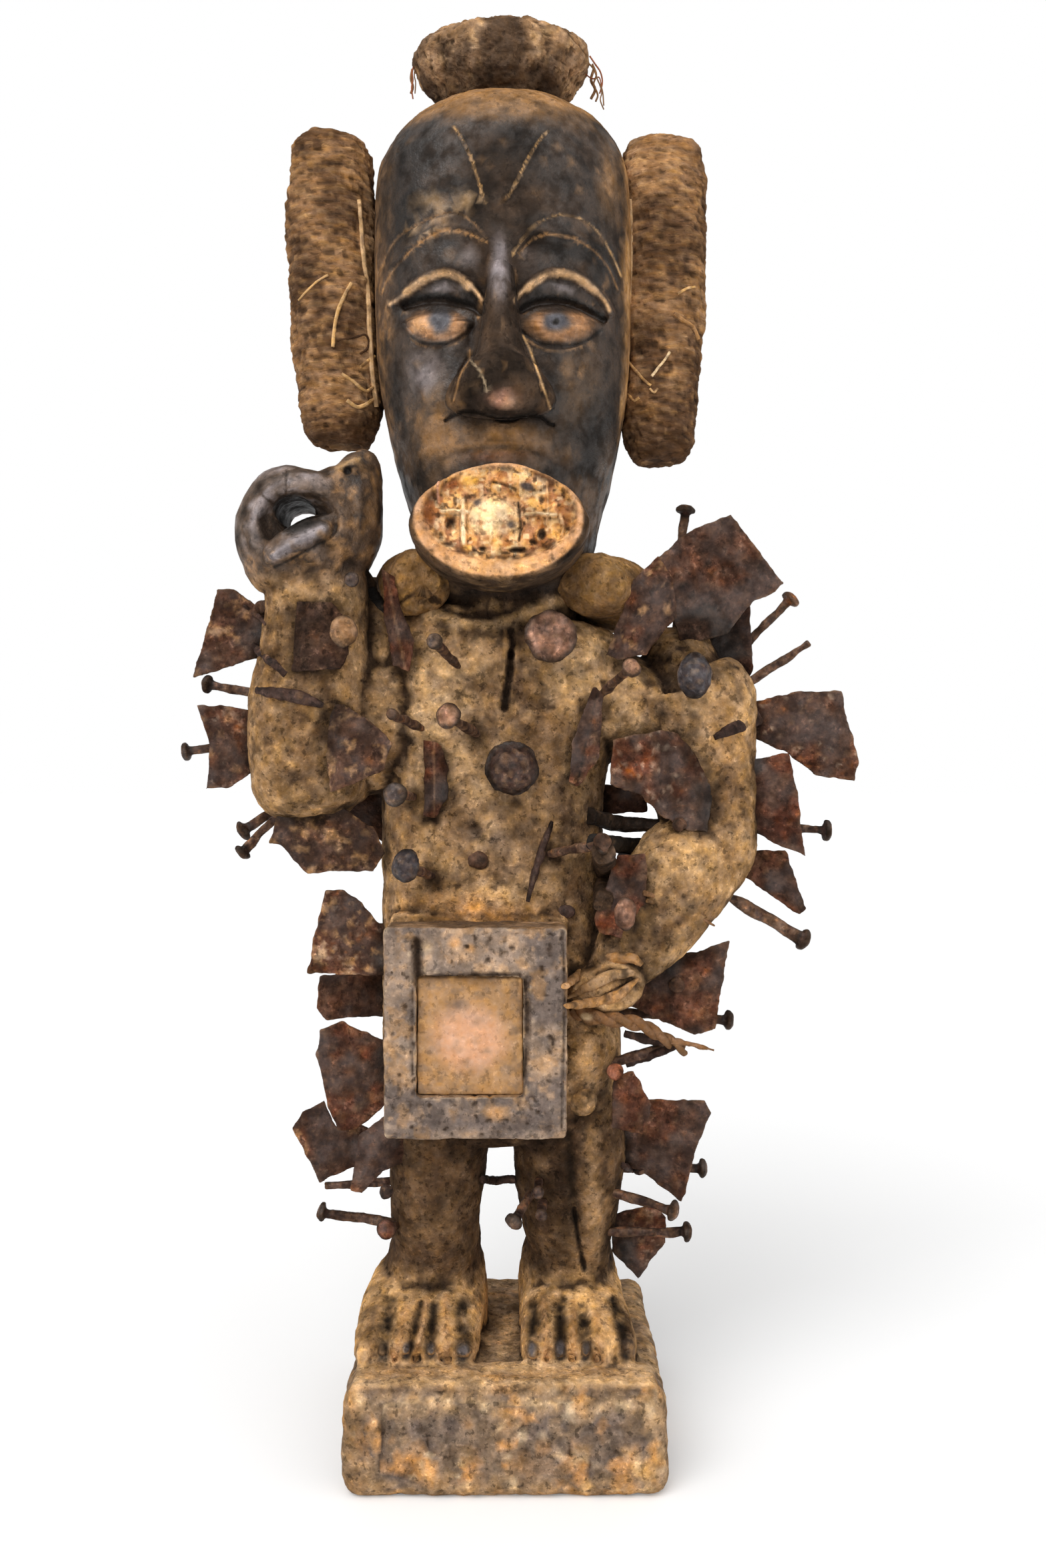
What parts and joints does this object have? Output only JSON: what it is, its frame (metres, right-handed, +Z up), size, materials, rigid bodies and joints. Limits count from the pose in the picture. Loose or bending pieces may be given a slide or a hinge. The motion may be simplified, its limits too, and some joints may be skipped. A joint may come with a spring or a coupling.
{
  "type": "nkisi nkondi power figure",
  "caption": "Carved wooden power figure on a square base, one fist raised, with driven iron blades and nails, fibre bundles on the head and a framed box on the belly.",
  "frame": {"origin": "centre of the flat underside of the base", "axes": "+Z up the figure, -Y the way the figure faces, +X to a viewer's right"},
  "size_m": [0.399, 0.2009, 0.8435],
  "materials": {
    "carved_wood": "dark polished head, sandy crusted body",
    "ear_bundle_fibre": "matte wound fibre",
    "crown_bundle_fibre": "matte lumpy cloth and fibre",
    "neck_roll_cloth": "earth-crusted cloth",
    "root": "dry root",
    "box_wood": "mottled grey-brown",
    "packed_earth": "worn packed earth",
    "blade_iron": "dark rust",
    "nail_iron": "brown rust"
  },
  "bodies": {
    "root": {"carved_figure": "carved_wood", "left_ear_bundle": "ear_bundle_fibre", "right_ear_bundle": "ear_bundle_fibre", "crown_bundle": "crown_bundle_fibre", "neck_roll": "neck_roll_cloth", "hip_root": "root", "belly_box": "box_wood", "belly_panel": "packed_earth", "blade_forearm_outer": "blade_iron", "blade_elbow_outer": "blade_iron", "blade_under_elbow": "blade_iron", "blade_arm_gap": "blade_iron", "blade_upper_arm": "blade_iron", "blade_fist_wrist": "blade_iron", "blade_left_shoulder": "blade_iron", "blade_left_chest": "blade_iron", "blade_right_chest": "blade_iron", "blade_right_shoulder_top": "blade_iron", "blade_right_shoulder_leaf": "blade_iron", "blade_right_shoulder_back": "blade_iron", "blade_right_arm_upper": "blade_iron", "blade_right_arm_lower": "blade_iron", "blade_right_elbow": "blade_iron", "blade_right_arm_front": "blade_iron", "blade_right_side_gap": "blade_iron", "blade_right_waist": "blade_iron", "blade_left_hip_top": "blade_iron", "blade_left_hip_back": "blade_iron", "blade_left_hip_middle": "blade_iron", "blade_left_thigh_outer": "blade_iron", "blade_left_thigh_front": "blade_iron", "blade_right_hip": "blade_iron", "blade_right_hip_leaf": "blade_iron", "blade_right_thigh_outer": "blade_iron", "blade_right_leg_leaf": "blade_iron", "nail_forearm_outer": "nail_iron", "nail_elbow_outer": "nail_iron", "nail_under_elbow_front": "nail_iron", "nail_under_elbow_back": "nail_iron", "nail_wrist": "nail_iron", "nail_chest_left": "nail_iron", "nail_ribs_left": "nail_iron", "nail_belly_left": "nail_iron", "nail_chest_right": "nail_iron", "nail_chest_middle": "nail_iron", "nail_belly_right": "nail_iron", "nail_shoulder_top": "nail_iron", "nail_shoulder_outer": "nail_iron", "spike_shoulder_outer": "nail_iron", "nail_shoulder_front": "nail_iron", "nail_right_arm_outer": "nail_iron", "nail_right_elbow": "nail_iron", "nail_right_waist": "nail_iron", "nail_right_hip": "nail_iron", "spike_right_hip": "nail_iron", "nail_right_thigh": "nail_iron", "nail_right_leg_upper": "nail_iron", "nail_right_leg_lower": "nail_iron", "spike_left_thigh": "nail_iron", "nail_left_leg_outer": "nail_iron"}
  },
  "joints": []
}
